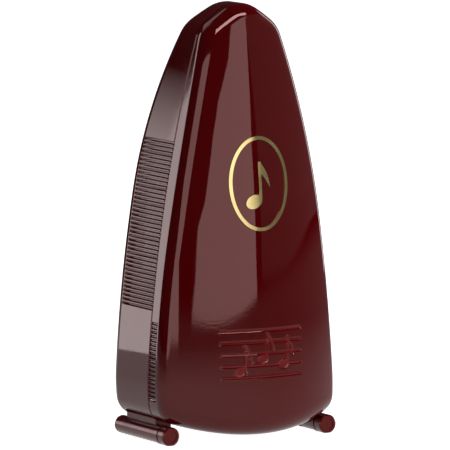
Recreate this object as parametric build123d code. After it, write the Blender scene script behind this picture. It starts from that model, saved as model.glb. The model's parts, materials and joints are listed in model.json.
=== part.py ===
"""Pocket metronome: a wind-up clockwork pendulum in a two-part moulded case.

The row frame has +Z up, the front of the case towards -Y and the plane of symmetry of
the case at X = 0. The floor under the feet is Z = 0. All sizes are in millimetres.
"""
from build123d import *
from math import atan, atan2, cos, degrees, radians, sin, sqrt
import os

# ---- case: driving dimensions -------------------------------------------------------
FRONT_Y = -26.42         # front of the cover at its foot, before its edge is rounded
BACK_Y = 26.0            # back of the case
SEAM_Y = -3.75           # plane where the cover meets the rear case
SEAM_GAP = 0.15          # each shell stops this far short of the seam plane
WALL = 1.8               # wall of both shells
WAIST = (36.85, 24.0)    # X and Z where the upper and lower side curves meet
SIDE_LEAN = atan(0.05)   # lean of the side at the waist
SIDE_R = 565.0           # upper side curve
LOW_R = 60.0             # lower side curve
FOOT_CORNER = (35.7, 8.9)
BELLY_Z = 2.7            # lowest point of the arched bottom
SHOULDER_Z = 151.5       # side meets roof, before rounding
APEX_Z = 162.1           # roof curves meet, before rounding
ROOF_BULGE = 0.6         # rise of each roof curve above its chord
FOOT_CORNER_R = 7.5
SHOULDER_R = 12.0
APEX_R = 12.5
PLAN_R = 60.0            # plan radius of the bowed front, at its foot
FRONT_LEAN = 0.052       # lean of the straight part of the front
FRONT_BEND_Z = 80.0      # the front curves back above this height
FRONT_BEND_R = 400.0
BACK_BEND_Z = 90.0       # the back curves forward above this height
BACK_BEND_R = 140.0
COVER_EDGE_R = 6.5
REAR_EDGE_R = 6.0
TOP_LIMIT_Z = 170.0      # working height above the roof
CLEAR = 0.3              # gap between bodies that move past each other

# ---- grip ribs ----------------------------------------------------------------------
RIB_PITCH = 1.55
RIB_GROOVE = 1.05        # height of one groove at its mouth
RIB_DEPTH = 0.45
REAR_RIBS_Z = (48.5, 112.0)
COVER_RIBS_Z = (15.5, 46.0)
COVER_RIB_LENGTH = 7.0
REAR_RIB_END_Y = 19.5

# ---- ornament -----------------------------------------------------------------------
BADGE_Z = 95.2
BADGE_HALF_H = 17.3
BADGE_HALF_W = 12.2
BADGE_LINE = 1.3
BADGE_PROUD = 0.35       # height above the cover
STAVE_Z = 33.0
STAVE_HALF_W = 16.5
STAVE_PITCH = 4.2
STAVE_DEPTH = 0.45
STAVE_LINE = 0.9

# ---- feet ---------------------------------------------------------------------------
FOOT_X = 33.0
FOOT_R = 3.55
FOOT_FLAT = 0.25         # depth of the flat that the feet stand on
FOOT_BAR_R = 3.35
FOOT_FRONT_Y = -14.4
FOOT_BACK_Y = 24.0
FOOT_SCREW_Y = (3.0, 17.0)

# ---- front panel and tempo scale ----------------------------------------------------
PANEL_BACK_Y = -1.4
PANEL_FRONT_Y = -3.3
PANEL_INSET = 2.1
PANEL_TOP_Z = 144.0
SCALE_T = 0.5
TAB_Z = (30.0, 122.0)    # heights of the cover's snap tabs
TAB_HALF_H = 3.0
TAB_T = 1.6
SCALE_Z = (66.0, 139.0)
SCALE_INSET = 5.5

# ---- movement -----------------------------------------------------------------------
PLATE_T = 1.2
FRONT_PLATE_Y = 1.0      # front face of the front plate
REAR_PLATE_Y = 18.0      # front face of the rear plate
PLATE_HALF_W = 25.0
PLATE_Z = (9.5, 61.0)
PILLAR_AT = ((-21.0, 13.5), (21.0, 13.5), (-21.0, 57.0), (21.0, 57.0))
GEAR_MODULE = 0.5
BARREL_TEETH = 52
SECOND_PINION_TEETH = 10
SECOND_TEETH = 50
ESCAPE_PINION_TEETH = 8
ESCAPE_TEETH = 15
ESCAPE_TIP_R = 7.5
RATCHET_TEETH = 24
RATCHET_R = 7.5
BARREL_AT = (0.0, 24.7)
SECOND_X = 12.0
MESH_GAP = 0.1           # added to each centre distance
PIVOT_AT = (0.0, 55.0)   # pendulum pivot
RUN_GAP = 0.04           # radial running clearance of pivots in their bushes

# ---- pendulum -----------------------------------------------------------------------
ROD_W = 2.6
ROD_T = 0.8
ROD_FRONT_Y = -8.9
ROD_Z = (23.0, 142.0)
WEIGHT_Z = 112.0
SPRING_HALF_H = 2.5
BOB_R = 10.0             # counterweight
BOB_T = 6.5
NOTCH_PITCH = 2.4

# ---- winding key --------------------------------------------------------------------
WELL_R = 12.0
WELL_FLOOR_Y = 22.4
WELL_FLOOR_T = 1.1
KEY_PIN_Y = 24.5
KEY_PIN_R = 0.6


# ---- helpers ------------------------------------------------------------------------
def front_plane(y):
    """Sketch plane whose x and y run along X and Z; its normal faces the front."""
    return Plane(origin=(0, y, 0), x_dir=(1, 0, 0), z_dir=(0, -1, 0))


def slab(sketch, y_front, y_back):
    """Solid with a front-view sketch as its section, from y_front to y_back."""
    return extrude(front_plane(y_back) * sketch, amount=y_back - y_front)


def disc(at, radius, y_front, y_back):
    """Round bar along Y."""
    return slab(Pos(at[0], at[1]) * Circle(radius), y_front, y_back)


def turned(at, steps):
    """Stepped shaft along Y from (y_front, y_back, radius) steps that meet end to end."""
    shaft = None
    for y_front, y_back, radius in steps:
        step = disc(at, radius, y_front, y_back)
        shaft = step if shaft is None else shaft + step
    return shaft


def block(x0, x1, y0, y1, z0, z1):
    """Box between two corners."""
    return Pos((x0 + x1) / 2, (y0 + y1) / 2, (z0 + z1) / 2) * Box(x1 - x0, y1 - y0, z1 - z0)


def save(solid, name):
    """Write one sub-part, one closed solid or a group of like solids."""
    export_step(solid, f"parts/{name}.step")


def circle_x(waist, radius, z):
    """Half width at height z on a side curve that passes the waist at its lean."""
    centre_x = waist[0] - radius * cos(SIDE_LEAN)
    centre_z = waist[1] - radius * sin(SIDE_LEAN)
    return centre_x + sqrt(radius**2 - (z - centre_z) ** 2)


def side_x(z):
    """Half width of the case at height z."""
    return circle_x(WAIST, SIDE_R if z > WAIST[1] else LOW_R, z)


def side_slope(z):
    """Angle of the side from the vertical, in degrees, positive where it leans inwards."""
    return degrees(atan((side_x(z - 0.5) - side_x(z + 0.5)) / 1.0))


def front_y(z):
    """Y of the cover's front at X = 0."""
    straight = FRONT_Y + FRONT_LEAN * (z - BELLY_Z)
    above = max(0.0, z - FRONT_BEND_Z)
    return straight + above**2 / (2 * FRONT_BEND_R)


# ---- case shapes --------------------------------------------------------------------
def case_outline(inset=0.0):
    """Front view of the case: arched bottom, bowed sides, sloping roof, round corners."""
    shoulder = (side_x(SHOULDER_Z), SHOULDER_Z)
    slope = atan2(APEX_Z - SHOULDER_Z, shoulder[0])
    roof_middle = (shoulder[0] / 2 + ROOF_BULGE * sin(slope),
                   (SHOULDER_Z + APEX_Z) / 2 + ROOF_BULGE * cos(slope))
    low_z = (FOOT_CORNER[1] + WAIST[1]) / 2
    high_z = (WAIST[1] + SHOULDER_Z) / 2
    right = [
        ThreePointArc(FOOT_CORNER, (side_x(low_z), low_z), WAIST),
        ThreePointArc(WAIST, (side_x(high_z), high_z), shoulder),
        ThreePointArc(shoulder, roof_middle, (0, APEX_Z)),
    ]
    left = [mirror(edge, Plane.YZ) for edge in right]
    bottom = ThreePointArc((-FOOT_CORNER[0], FOOT_CORNER[1]), (0, BELLY_Z), FOOT_CORNER)
    face = make_face(right + [bottom] + left)
    if inset:
        face = offset(face, -inset, kind=Kind.INTERSECTION)
    face = fillet(face.vertices().sort_by(Axis.Y)[-1:], APEX_R - inset)
    face = fillet(face.vertices().sort_by(Axis.Y)[-4:-2], SHOULDER_R - inset)
    return fillet(face.vertices().sort_by(Axis.Y)[:2], FOOT_CORNER_R - inset)


def bowed_front(inset=0.0):
    """Solid of revolution whose skin is the bowed, backward-leaning front."""
    axis_y = FRONT_Y + PLAN_R
    foot_z = -10.0

    def on_front(z):
        return (front_y(z) + inset, z)

    middle_z = (FRONT_BEND_Z + TOP_LIMIT_Z) / 2
    profile = make_face([
        Line(on_front(foot_z), on_front(FRONT_BEND_Z)),
        ThreePointArc(on_front(FRONT_BEND_Z), on_front(middle_z), on_front(TOP_LIMIT_Z)),
        Line(on_front(TOP_LIMIT_Z), (axis_y, TOP_LIMIT_Z)),
        Line((axis_y, TOP_LIMIT_Z), (axis_y, foot_z)),
        Line((axis_y, foot_z), on_front(foot_z)),
    ])
    return revolve(Plane.YZ * profile, axis=Axis((0, axis_y, 0), (0, 0, 1)))


def curved_back(inset=0.0):
    """Solid behind which nothing of the case reaches: upright, then curving forward."""
    back = BACK_Y - inset
    foot_z = -10.0
    front = SEAM_Y - 5.0

    def on_back(z):
        return (back - BACK_BEND_R + sqrt(BACK_BEND_R**2 - (z - BACK_BEND_Z) ** 2), z)

    middle_z = (BACK_BEND_Z + TOP_LIMIT_Z) / 2
    profile = make_face([
        Line((back, foot_z), (back, BACK_BEND_Z)),
        ThreePointArc((back, BACK_BEND_Z), on_back(middle_z), on_back(TOP_LIMIT_Z)),
        Line(on_back(TOP_LIMIT_Z), (front, TOP_LIMIT_Z)),
        Line((front, TOP_LIMIT_Z), (front, foot_z)),
        Line((front, foot_z), (back, foot_z)),
    ])
    return extrude(Plane.YZ * profile, amount=2 * WAIST[0], both=True)


def cover_form(inset, edge_r, y_back):
    """Solid form of the cover, shrunk by an inset."""
    form = slab(case_outline(inset), FRONT_Y - 5, y_back) & bowed_front(inset)
    rim = [e for e in form.edges() if max((e @ 0).Y, (e @ 1).Y) < SEAM_Y - 4]
    return fillet(rim, edge_r)


def rear_form(inset, edge_r, y_front):
    """Solid form of the rear case, shrunk by an inset."""
    form = slab(case_outline(inset), y_front, BACK_Y + 5) & curved_back(inset)
    rim = [e for e in form.edges() if min((e @ 0).Y, (e @ 1).Y) > SEAM_Y + 4]
    return fillet(rim, edge_r)


def rib_grooves(z_range, y_front, y_back):
    """Horizontal V grooves that leave grip ribs on both sides of the case."""
    count = int((z_range[1] - z_range[0]) / RIB_PITCH)
    spread = RIB_GROOVE / (2 * RIB_DEPTH)
    outside = 1.0
    mouth = (outside + RIB_DEPTH) * spread
    grooves = []
    for side in (-1, 1):
        root, edge = -side * RIB_DEPTH, side * outside
        wedge = make_face(Polyline((root, 0), (edge, mouth), (edge, -mouth), close=True))
        for number in range(count):
            z = z_range[0] + (number + 0.5) * RIB_PITCH
            section = Pos(side * side_x(z), z) * Rot(0, 0, side * side_slope(z)) * wedge
            grooves.append(slab(section, y_front, y_back))
    return grooves


# ---- cover and its ornament ---------------------------------------------------------
def skin_between(depth_out, depth_in):
    """Layer of space that follows the bowed front between two depths."""
    return bowed_front(depth_out) - bowed_front(depth_in)


def note_sketch(x, z, head, stem):
    """Single quaver: a tilted oval head, a stem and a curved flag."""
    oval = Pos(x, z) * Rot(0, 0, 22) * Ellipse(head * 1.25, head * 0.9)
    post_x = x + head * 1.0
    post = Pos(post_x, z + stem / 2) * Rectangle(head * 0.42, stem)
    top = z + stem
    flag = make_face([
        ThreePointArc((post_x, top), (post_x + head * 1.1, top - head * 1.7),
                      (post_x + head * 1.5, top - head * 3.6)),
        ThreePointArc((post_x + head * 1.5, top - head * 3.6),
                      (post_x + head * 0.75, top - head * 2.3), (post_x, top - head * 1.5)),
        Line((post_x, top - head * 1.5), (post_x, top)),
    ])
    return oval + post + flag


def stave_sketch():
    """Generic ornament for the lower front: a five-line stave with three notes."""
    sketch = None
    for line in range(-2, 3):
        bar = Pos(0, STAVE_Z + line * STAVE_PITCH) * Rectangle(2 * STAVE_HALF_W, STAVE_LINE)
        sketch = bar if sketch is None else sketch + bar
    for x, step in ((-9.5, -1.5), (-0.5, -0.5), (8.5, -1.0)):
        sketch += note_sketch(x, STAVE_Z + step * STAVE_PITCH, 1.9, 9.5)
    return sketch


def snap_tab(z):
    """Tab on the right of the cover that reaches through a window in the front panel."""
    inner_x = side_x(z + TAB_HALF_H) - WALL
    tongue = block(inner_x - TAB_T - CLEAR, inner_x - CLEAR, SEAM_Y - 4, PANEL_BACK_Y + 0.6,
                   z - TAB_HALF_H, z + TAB_HALF_H)
    root = block(inner_x - TAB_T - CLEAR, inner_x + 2, SEAM_Y - 4, SEAM_Y - 0.6,
                 z - TAB_HALF_H, z + TAB_HALF_H)
    return tongue + (root & slab(case_outline(WALL / 2), FRONT_Y, SEAM_Y))


def front_cover():
    """Removable front shell with finger ribs, four snap tabs and the sunk ornament."""
    rear_edge = SEAM_Y - SEAM_GAP
    shell = cover_form(0.0, COVER_EDGE_R, rear_edge)
    shell -= cover_form(WALL, COVER_EDGE_R - WALL, rear_edge)
    shell -= rib_grooves(COVER_RIBS_Z, rear_edge - COVER_RIB_LENGTH, rear_edge + 1)
    cut = slab(stave_sketch(), FRONT_Y - 5, SEAM_Y) & skin_between(-1.0, STAVE_DEPTH)
    shell -= cut
    for z in TAB_Z:
        tab = snap_tab(z)
        shell += tab
        shell += mirror(tab, Plane.YZ)
    return shell


def badge_parts():
    """Raised metal badge: an oval ring and, inside it, a quaver."""
    reach = BADGE_PROUD
    layer = skin_between(-reach, 0.0)
    oval = Ellipse(BADGE_HALF_W, BADGE_HALF_H)
    hole = Ellipse(BADGE_HALF_W - BADGE_LINE, BADGE_HALF_H - BADGE_LINE)
    ring = slab(Pos(0, BADGE_Z) * (oval - hole), FRONT_Y - 5, SEAM_Y) & layer
    note = slab(note_sketch(-2.6, BADGE_Z - 6.5, 2.7, 14.5), FRONT_Y - 5, SEAM_Y) & layer
    return ring, note


# ---- rear case, panel and feet ------------------------------------------------------
def panel_screw_places():
    """Four screws that hold the front panel to the rear case."""
    return [(side * (side_x(z) - 6.5), z) for z in (17.0, 128.0) for side in (-1, 1)]


def rear_case():
    """Rear shell with the key well in its back, screw bosses and side ribs."""
    front_edge = SEAM_Y + SEAM_GAP
    shell = rear_form(0.0, REAR_EDGE_R, front_edge)
    shell -= rear_form(WALL, REAR_EDGE_R - WALL, front_edge)
    shell -= rib_grooves(REAR_RIBS_Z, front_edge - 1, REAR_RIB_END_Y)
    shell += disc(BARREL_AT, WELL_R + 1.4, WELL_FLOOR_Y - WELL_FLOOR_T, BACK_Y - 0.2)
    shell -= disc(BARREL_AT, WELL_R, WELL_FLOOR_Y, BACK_Y + 1)
    shell -= disc(BARREL_AT, 2.6, 15, BACK_Y)
    for at in panel_screw_places():
        post = disc(at, 3.0, PANEL_BACK_Y, 18.0 if at[1] > 100 else BACK_Y - WALL / 2)
        post -= disc(at, 0.9, PANEL_BACK_Y - 1, PANEL_BACK_Y + 8)
        shell += post & rear_form(WALL / 2, REAR_EDGE_R - WALL / 2, front_edge)
        shell -= disc(at, 0.9, PANEL_BACK_Y - 1, PANEL_BACK_Y + 8)
    within = rear_form(WALL / 2, REAR_EDGE_R - WALL / 2, front_edge)
    for side in (-1, 1):
        for y in FOOT_SCREW_Y:
            hole = Pos(side * (FOOT_X - 3.4), y, 8.0) * Cylinder(1.0, 13.0)
            boss = Pos(side * (FOOT_X - 3.4), y, 11.0) * Cylinder(2.6, 8.0)
            shell -= hole
            shell += (boss - hole) & within
    return shell


def foot_bar(side):
    """Round foot bar with a collared front end, on a saddle under the rear case."""
    at = (side * FOOT_X, FOOT_R - FOOT_FLAT)
    collar_y = FOOT_FRONT_Y + 4.2
    bar = disc(at, FOOT_R, FOOT_FRONT_Y, collar_y)
    bar = chamfer(bar.edges().group_by(Axis.Y)[0], 0.5)
    bar -= disc(at, 2.3, FOOT_FRONT_Y - 1, FOOT_FRONT_Y + 0.35)
    bar += disc(at, FOOT_R - 0.55, collar_y, collar_y + 0.8)
    bar += disc(at, FOOT_R, collar_y + 0.8, collar_y + 2.6)
    tail = disc(at, FOOT_BAR_R, collar_y + 2.6, FOOT_BACK_Y)
    bar += chamfer(tail.edges().group_by(Axis.Y)[-1], 0.6)
    x0, x1 = sorted((side * (FOOT_X - 6.4), side * FOOT_X))
    saddle = block(x0, x1, SEAM_Y + 1.5, FOOT_BACK_Y - 4, FOOT_R - 0.9, 12.0)
    bar += saddle - slab(case_outline(), FRONT_Y, BACK_Y)
    bar -= block(-50, 50, -50, 50, -5, 0)
    for y in FOOT_SCREW_Y:
        x = side * (FOOT_X - 3.4)
        bar -= Pos(x, y, 6.0) * Cylinder(1.2, 12.0)
        bar -= Pos(x, y, 1.7) * Cylinder(2.1, 3.4)
    return bar


def foot_screws():
    """Four pan-head screws driven up through the saddles into the rear case."""
    screws = []
    for side in (-1, 1):
        for y in FOOT_SCREW_Y:
            x = side * (FOOT_X - 3.4)
            head = Pos(x, y, 2.8) * Cylinder(1.9, 1.2)
            head -= Pos(x, y, 2.2) * Box(3.2, 0.5, 0.9)
            screws.append(head + Pos(x, y, 3.4) * Cylinder(
                0.95, 9.5, align=(Align.CENTER, Align.CENTER, Align.MIN)))
    return Compound(children=screws)


def front_panel():
    """Inner panel that closes the rear case and carries the scale and the movement."""
    panel = slab(case_outline(PANEL_INSET), PANEL_FRONT_Y, PANEL_BACK_Y)
    panel -= block(-40, 40, -10, 5, PANEL_TOP_Z, TOP_LIMIT_Z)
    panel -= disc(PIVOT_AT, 5.0, -10, 5)
    for at in panel_screw_places():
        panel -= disc(at, 1.2, -10, 5)
        panel -= disc(at, 2.2, -10, PANEL_FRONT_Y + 0.8)
    for at in PILLAR_AT:
        panel += disc(at, 3.0, PANEL_BACK_Y, FRONT_PLATE_Y)
        panel -= disc(at, 1.0, -10, 5)
        panel -= disc(at, 2.2, -10, PANEL_FRONT_Y + 1.0)
    for at in scale_screw_places():
        panel -= disc(at, 0.7, -10, 5)
    for z in TAB_Z:
        inner_x = side_x(z + TAB_HALF_H) - WALL - TAB_T - 2 * CLEAR
        half_h = TAB_HALF_H + CLEAR
        window = block(inner_x, inner_x + 10, -10, 5, z - half_h, z + half_h)
        panel -= window
        panel -= mirror(window, Plane.YZ)
    return panel


def cross_screw(at, head_r, head_t, shank_r, y_face, length):
    """Pan-head screw driven towards +Y, its head standing on the plane y_face."""
    head = disc(at, head_r, y_face - head_t, y_face)
    for turn in (0, 90):
        slot = Pos(at[0], y_face - head_t, at[1]) * Rot(0, turn, 0) * Box(head_r * 1.3, 0.7, 0.45)
        head -= slot
    return head + disc(at, shank_r, y_face, y_face + length)


def panel_screws():
    """Four screws through the front panel into the rear case posts."""
    return Compound(children=[
        cross_screw(at, 2.0, 0.8, 0.85, PANEL_FRONT_Y + 0.8, 8.0) for at in panel_screw_places()])


def scale_outline():
    """Front view of the scale plate: a tall taper with sides that follow the case."""
    low, high = SCALE_Z
    middle = (low + high) / 2
    right = ThreePointArc((side_x(low) - SCALE_INSET, low), (side_x(middle) - SCALE_INSET, middle),
                          (side_x(high) - SCALE_INSET, high))
    left = mirror(right, Plane.YZ)
    face = make_face([right, left, Line(right @ 0, left @ 0), Line(right @ 1, left @ 1)])
    return fillet(face.vertices(), 1.5)


def scale_screw_places():
    """Two screws on the centre line of the scale plate."""
    return [(0.0, SCALE_Z[0] + 3.5), (0.0, SCALE_Z[1] - 3.5)]


def scale_plate():
    """Thin aluminium plate that carries the tempo scale."""
    plate = slab(scale_outline(), PANEL_FRONT_Y - SCALE_T, PANEL_FRONT_Y)
    for at in scale_screw_places():
        plate -= disc(at, 0.8, -10, 5)
    return plate


def scale_screws():
    """Two small screws that hold the scale plate to the panel."""
    face = PANEL_FRONT_Y - SCALE_T
    return Compound(children=[
        cross_screw(at, 1.4, 0.7, 0.7, face, 1.8) for at in scale_screw_places()])


def rod_rest():
    """Moulded saddle behind the rod's tip, where the rod parks."""
    y_back = PANEL_FRONT_Y
    rest = block(-5.0, 5.0, y_back - 3.6, y_back, 139.6, 143.4)
    rest -= block(-1.6, 1.6, y_back - 5, y_back - 2.4, 130, 150)
    return fillet(rest.edges().filter_by(Axis.Y), 0.7)


# ---- gears --------------------------------------------------------------------------
def pitch_r(teeth):
    """Pitch radius of a gear."""
    return GEAR_MODULE * teeth / 2


def on_circle(radius, angle):
    """Point at a radius and an angle in degrees."""
    return (radius * cos(radians(angle)), radius * sin(radians(angle)))


def tooth_ring(teeth, root_r, tip_r, root_share, tip_share, lean=0.0):
    """Gear sketch: trapezoid teeth on a root disc; lean shifts the tips for ratchets."""
    pitch_angle = 360.0 / teeth
    points = []
    for tooth in range(teeth):
        centre = tooth * pitch_angle
        root_half = root_share * pitch_angle / 2
        tip_half = tip_share * pitch_angle / 2
        points.append(on_circle(root_r, centre - root_half))
        points.append(on_circle(tip_r, centre - tip_half + lean * pitch_angle))
        points.append(on_circle(tip_r, centre + tip_half + lean * pitch_angle))
        points.append(on_circle(root_r, centre + root_half))
    return make_face(Polyline(*points, close=True))


def spur(teeth):
    """Fine-pitch clock gear with slim teeth that leave backlash."""
    radius = pitch_r(teeth)
    return tooth_ring(teeth, radius - 1.15 * GEAR_MODULE, radius + 0.85 * GEAR_MODULE, 0.52, 0.16)


def spoked(sketch, rim_r, hub_r, spokes):
    """Cut windows between a hub and a rim, leaving spokes."""
    window = Circle(rim_r) - Circle(hub_r)
    for spoke in range(spokes):
        bar = Pos(rim_r / 2, 0) * Rectangle(rim_r + 2, hub_r * 0.7)
        window -= Rot(0, 0, spoke * 360.0 / spokes) * bar
    return sketch - window


def gear_on(at, sketch, turn, y_front, y_back):
    """Gear sketch placed on an arbor, turned about it by an angle in degrees."""
    return slab(Pos(at[0], at[1]) * Rot(0, 0, turn) * sketch, y_front, y_back)


def train_centres():
    """Front-view places of the second and escape arbors, from the gear sizes."""
    reach = pitch_r(BARREL_TEETH) + pitch_r(SECOND_PINION_TEETH) + MESH_GAP
    second = (SECOND_X, BARREL_AT[1] + sqrt(reach**2 - SECOND_X**2))
    reach = pitch_r(SECOND_TEETH) + pitch_r(ESCAPE_PINION_TEETH) + MESH_GAP
    escape = (0.0, second[1] + sqrt(reach**2 - SECOND_X**2))
    return second, escape


def mesh_turn(driver_at, driver_teeth, driver_turn, at, teeth):
    """Turn of a gear that puts one of its gaps on a tooth of its driver, in degrees."""
    direction = degrees(atan2(at[1] - driver_at[1], at[0] - driver_at[0]))
    driver_phase = (direction - driver_turn) * driver_teeth / 360.0
    return direction + 180.0 + (driver_phase + 0.5) * 360.0 / teeth


# ---- movement frame -----------------------------------------------------------------
def arbor_places():
    """Pendulum, escape, second and barrel arbors, in front view."""
    second, escape = train_centres()
    return {"pendulum": PIVOT_AT, "escape": escape, "second": second, "barrel": BARREL_AT}


PIVOT_RADII = {"pendulum": 1.0, "escape": 0.6, "second": 0.8, "barrel": 1.8}
BUSH_WALL = 1.0


def plate_outline():
    """Movement plate: a rectangle with round corners."""
    low, high = PLATE_Z
    return Pos(0, (low + high) / 2) * RectangleRounded(2 * PLATE_HALF_W, high - low, 5.0)


def movement_plate(y_front):
    """Brass plate with holes for the bushes and the pillar screws."""
    plate = slab(plate_outline(), y_front, y_front + PLATE_T)
    for name, at in arbor_places().items():
        plate -= disc(at, PIVOT_RADII[name] + BUSH_WALL, y_front - 1, y_front + 5)
    for at in PILLAR_AT:
        plate -= disc(at, 1.0, y_front - 1, y_front + 5)
    if y_front == REAR_PLATE_Y:
        plate -= disc(CLICK_PIVOT, 0.9, y_front - 1, y_front + 5)
    return plate


def movement_pillars():
    """Four turned pillars that hold the plates apart."""
    y_front = FRONT_PLATE_Y + PLATE_T
    pillars = []
    for at in PILLAR_AT:
        pillar = turned(at, [
            (y_front, y_front + 1.2, 2.6), (y_front + 1.2, REAR_PLATE_Y - 1.2, 2.0),
            (REAR_PLATE_Y - 1.2, REAR_PLATE_Y, 2.6)])
        pillar -= disc(at, 0.7, y_front - 1, y_front + 5)
        pillar -= disc(at, 0.7, REAR_PLATE_Y - 5, REAR_PLATE_Y + 1)
        pillars.append(pillar)
    return Compound(children=pillars)


def plate_bushes(y_front, reach):
    """Bearing bushes pressed into one plate."""
    bushes = []
    for name, at in arbor_places().items():
        outer = PIVOT_RADII[name] + BUSH_WALL
        bush = disc(at, outer, y_front, y_front + PLATE_T)
        bush += disc(at, outer + 0.5, y_front - reach, y_front)
        bush -= disc(at, PIVOT_RADII[name] + RUN_GAP, y_front - 5, y_front + 5)
        bushes.append(bush)
    return Compound(children=bushes)


def mount_screws():
    """Four screws through the front panel and front plate into the pillars."""
    face = PANEL_FRONT_Y + 1.0
    length = FRONT_PLATE_Y + PLATE_T + 3.5 - face
    return Compound(children=[cross_screw(at, 2.0, 0.9, 0.65, face, length) for at in PILLAR_AT])


def rear_plate_screws():
    """Four screws through the rear plate into the pillars."""
    face = REAR_PLATE_Y + PLATE_T
    screws = []
    for at in PILLAR_AT:
        screw = disc(at, 1.8, face, face + 0.9)
        screw -= Pos(at[0], face + 0.9, at[1]) * Box(2.8, 0.7, 0.45)
        screws.append(screw + disc(at, 0.65, face - 4.0, face))
    return Compound(children=screws)


# ---- going train --------------------------------------------------------------------
def great_wheel():
    """Toothed wheel on the back of the mainspring barrel."""
    wheel = gear_on(BARREL_AT, spur(BARREL_TEETH), 0.0, 14.0, 15.4)
    return wheel - disc(BARREL_AT, 2.0 + RUN_GAP, 0, 20)


def barrel_drum():
    """Round drum that holds the mainspring."""
    drum = disc(BARREL_AT, 11.6, 7.4, 14.0)
    drum -= disc(BARREL_AT, 10.8, 7.0, 13.2)
    return drum - disc(BARREL_AT, 2.0 + RUN_GAP, 0, 20)


def barrel_lid():
    """Lid that closes the drum in front."""
    return disc(BARREL_AT, 11.6, 6.8, 7.4) - disc(BARREL_AT, 2.0 + RUN_GAP, 0, 20)


def mainspring():
    """Steel strip coiled in the drum, as a flat spiral of even pitch."""
    inner_r, outer_r = 3.2, 10.4
    turns = 7
    strip = 0.35
    steps = turns * 24
    outer_path = []
    inner_path = []
    for step in range(steps + 1):
        angle = 360.0 * turns * step / steps
        radius = inner_r + (outer_r - inner_r) * step / steps
        outer_path.append(on_circle(radius, angle))
        inner_path.append(on_circle(radius - strip, angle))
    outer = Spline(*outer_path)
    inner = Spline(*inner_path)
    band = make_face([outer, inner, Line(outer @ 0, inner @ 0), Line(outer @ 1, inner @ 1)])
    return gear_on(BARREL_AT, band, 0.0, 8.0, 12.8)


def winding_arbor():
    """Arbor through the barrel, both plates and the back of the case."""
    return turned(BARREL_AT, [
        (FRONT_PLATE_Y + 0.2, FRONT_PLATE_Y + PLATE_T, 1.8),
        (FRONT_PLATE_Y + PLATE_T, 6.4, 2.2),
        (6.4, 8.0, 2.0), (8.0, 12.8, 2.5), (12.8, REAR_PLATE_Y - 0.6, 2.0),
        (REAR_PLATE_Y - 0.6, WELL_FLOOR_Y + 0.2, 1.8)])


RATCHET_Y = (REAR_PLATE_Y + PLATE_T + 0.3, REAR_PLATE_Y + PLATE_T + 1.5)


def ratchet_wheel():
    """Saw-toothed wheel on the winding arbor, behind the rear plate."""
    teeth = tooth_ring(RATCHET_TEETH, RATCHET_R - 1.0, RATCHET_R, 0.9, 0.12, lean=0.3)
    wheel = gear_on(BARREL_AT, teeth, 0.0, *RATCHET_Y)
    return wheel - disc(BARREL_AT, 1.8, 0, 30)


CLICK_PIVOT = (-11.5, 18.0)
CLICK_TIP = (-6.95, 25.5)


def click_lever():
    """Pawl whose tip stands in a gap between two ratchet teeth."""
    edge = Polyline(CLICK_TIP, (-8.2, 25.6), (-9.9, 24.6), (-13.2, 18.8), (-12.9, 16.6),
                    (-10.6, 16.2), (-9.4, 18.4), (-9.4, 20.5), (-8.3, 23.9), close=True)
    body = slab(make_face(edge), *RATCHET_Y)
    return body - disc(CLICK_PIVOT, 0.9 + RUN_GAP, 0, 30)


def click_stud():
    """Shoulder screw that the click turns on."""
    stud = disc(CLICK_PIVOT, 0.9, REAR_PLATE_Y + PLATE_T - 0.6, RATCHET_Y[1] + 0.05)
    return stud + disc(CLICK_PIVOT, 1.7, RATCHET_Y[1] + 0.05, RATCHET_Y[1] + 0.6)


def click_spring():
    """Leaf spring on a post, its free end just off the back of the click."""
    y_front, y_back = RATCHET_Y
    post = disc((-19.0, 31.0), 1.3, REAR_PLATE_Y + PLATE_T, y_back)
    strip = Polyline((-18.6, 30.4), (-12.2, 22.1), (-12.0, 22.4), (-18.0, 31.0), close=True)
    leaf = slab(make_face(strip), y_front + 0.1, y_back - 0.1)
    return post + leaf


def pinion_arbor(at, teeth, turn, pinion_y, shoulder_r, pivot_r):
    """Steel arbor with its pinion cut from the same bar."""
    front = FRONT_PLATE_Y + PLATE_T + 0.15
    back = REAR_PLATE_Y - 0.65
    arbor = turned(at, [(FRONT_PLATE_Y + 0.1, front, pivot_r), (front, back, shoulder_r),
                        (back, REAR_PLATE_Y + PLATE_T - 0.1, pivot_r)])
    return arbor + gear_on(at, spur(teeth), turn, *pinion_y)


def train_parts():
    """Second and escape wheels with their pinions, in mesh at rest."""
    second_at, escape_at = train_centres()
    second_turn = mesh_turn(BARREL_AT, BARREL_TEETH, 0.0, second_at, SECOND_PINION_TEETH)
    escape_turn = mesh_turn(second_at, SECOND_TEETH, second_turn, escape_at, ESCAPE_PINION_TEETH)
    second_arbor = pinion_arbor(second_at, SECOND_PINION_TEETH, second_turn, (13.6, 15.8), 1.2, 0.8)
    wheel = spoked(spur(SECOND_TEETH), 10.8, 2.6, 5)
    second_wheel = gear_on(second_at, wheel, second_turn, 3.2, 4.2) - disc(second_at, 1.2, 0, 20)
    escape_arbor = pinion_arbor(escape_at, ESCAPE_PINION_TEETH, escape_turn, (2.75, 4.7), 0.9, 0.6)
    teeth = tooth_ring(ESCAPE_TEETH, ESCAPE_TIP_R - 2.0, ESCAPE_TIP_R, 0.75, 0.06, lean=0.25)
    wheel = spoked(teeth, 4.6, 1.8, 4)
    escape_wheel = gear_on(escape_at, wheel, 0.0, 5.1, 6.0) - disc(escape_at, 0.9, 0, 20)
    return second_arbor, second_wheel, escape_arbor, escape_wheel


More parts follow.
